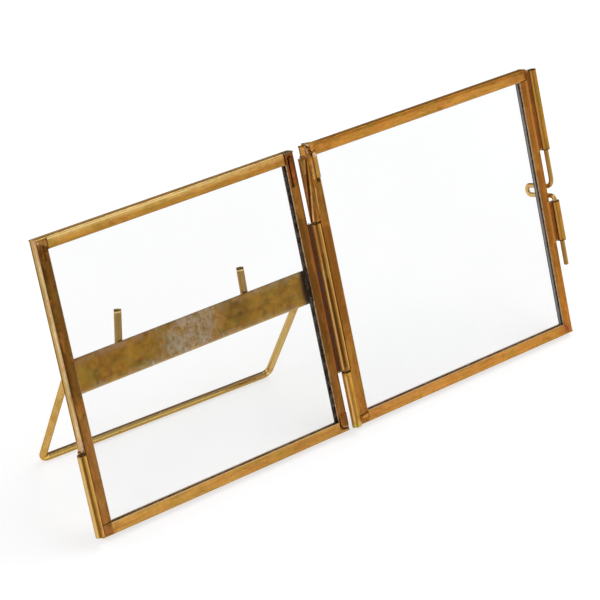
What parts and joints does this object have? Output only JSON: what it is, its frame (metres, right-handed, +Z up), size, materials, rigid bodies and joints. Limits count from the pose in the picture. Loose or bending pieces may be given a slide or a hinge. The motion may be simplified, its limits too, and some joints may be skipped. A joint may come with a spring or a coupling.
{
  "type": "hinged double photo frame",
  "caption": "Two glazed leaves of folded brass channel, hinged side by side, with a wire easel stand and a sliding wire bolt that locks the leaves shut.",
  "frame": {"origin": "middle of the box on the surface that the frame stands on, under the hinge line", "axes": "+X along both leaves to the right as seen from the front, +Y to the back, +Z up"},
  "size_m": [0.2218, 0.0554, 0.0892],
  "materials": {
    "brass_channel": "aged, patinated",
    "brass_tube": "aged, satin",
    "brass_strip": "dull olive patina",
    "brass_wire": "drawn, satin",
    "glass": "clear, polished"
  },
  "bodies": {
    "left_leaf": {"left_top_rail": "brass_channel", "left_bottom_rail": "brass_channel", "left_outer_stile": "brass_channel", "left_hinge_stile": "brass_channel", "left_glass": "glass", "left_corner_tab": "brass_channel", "middle_knuckle": "brass_tube", "catch_tube": "brass_tube", "stand_strip": "brass_strip", "left_stand_sleeve": "brass_tube", "right_stand_sleeve": "brass_tube"},
    "right_leaf": {"right_top_rail": "brass_channel", "right_bottom_rail": "brass_channel", "right_outer_stile": "brass_channel", "right_hinge_stile": "brass_channel", "right_glass": "glass", "right_corner_tab": "brass_channel", "lower_knuckle": "brass_tube", "upper_knuckle": "brass_tube", "hinge_pin": "brass_wire", "upper_bolt_guide": "brass_tube", "lower_bolt_guide": "brass_tube"},
    "stand": {"stand_wire": "brass_wire"},
    "bolt": {"bolt_wire": "brass_wire"}
  },
  "joints": [
    {"name": "leaf_hinge", "type": "hinge", "parent": "left_leaf", "child": "right_leaf", "pos_m": [0, -0.02645, 0.00223], "axis": [0, -0.5, -0.866], "range_deg": [0, 180]},
    {"name": "stand_hinge", "type": "hinge", "parent": "left_leaf", "child": "stand", "pos_m": [-0.0551, 0.00643, 0.04428], "axis": [-1, 0, 0], "range_deg": [0, 38.5]},
    {"name": "bolt_slide", "type": "slide", "parent": "right_leaf", "child": "bolt", "axis": [0, 0.5, 0.866], "range_m": [0, 0.01]}
  ]
}
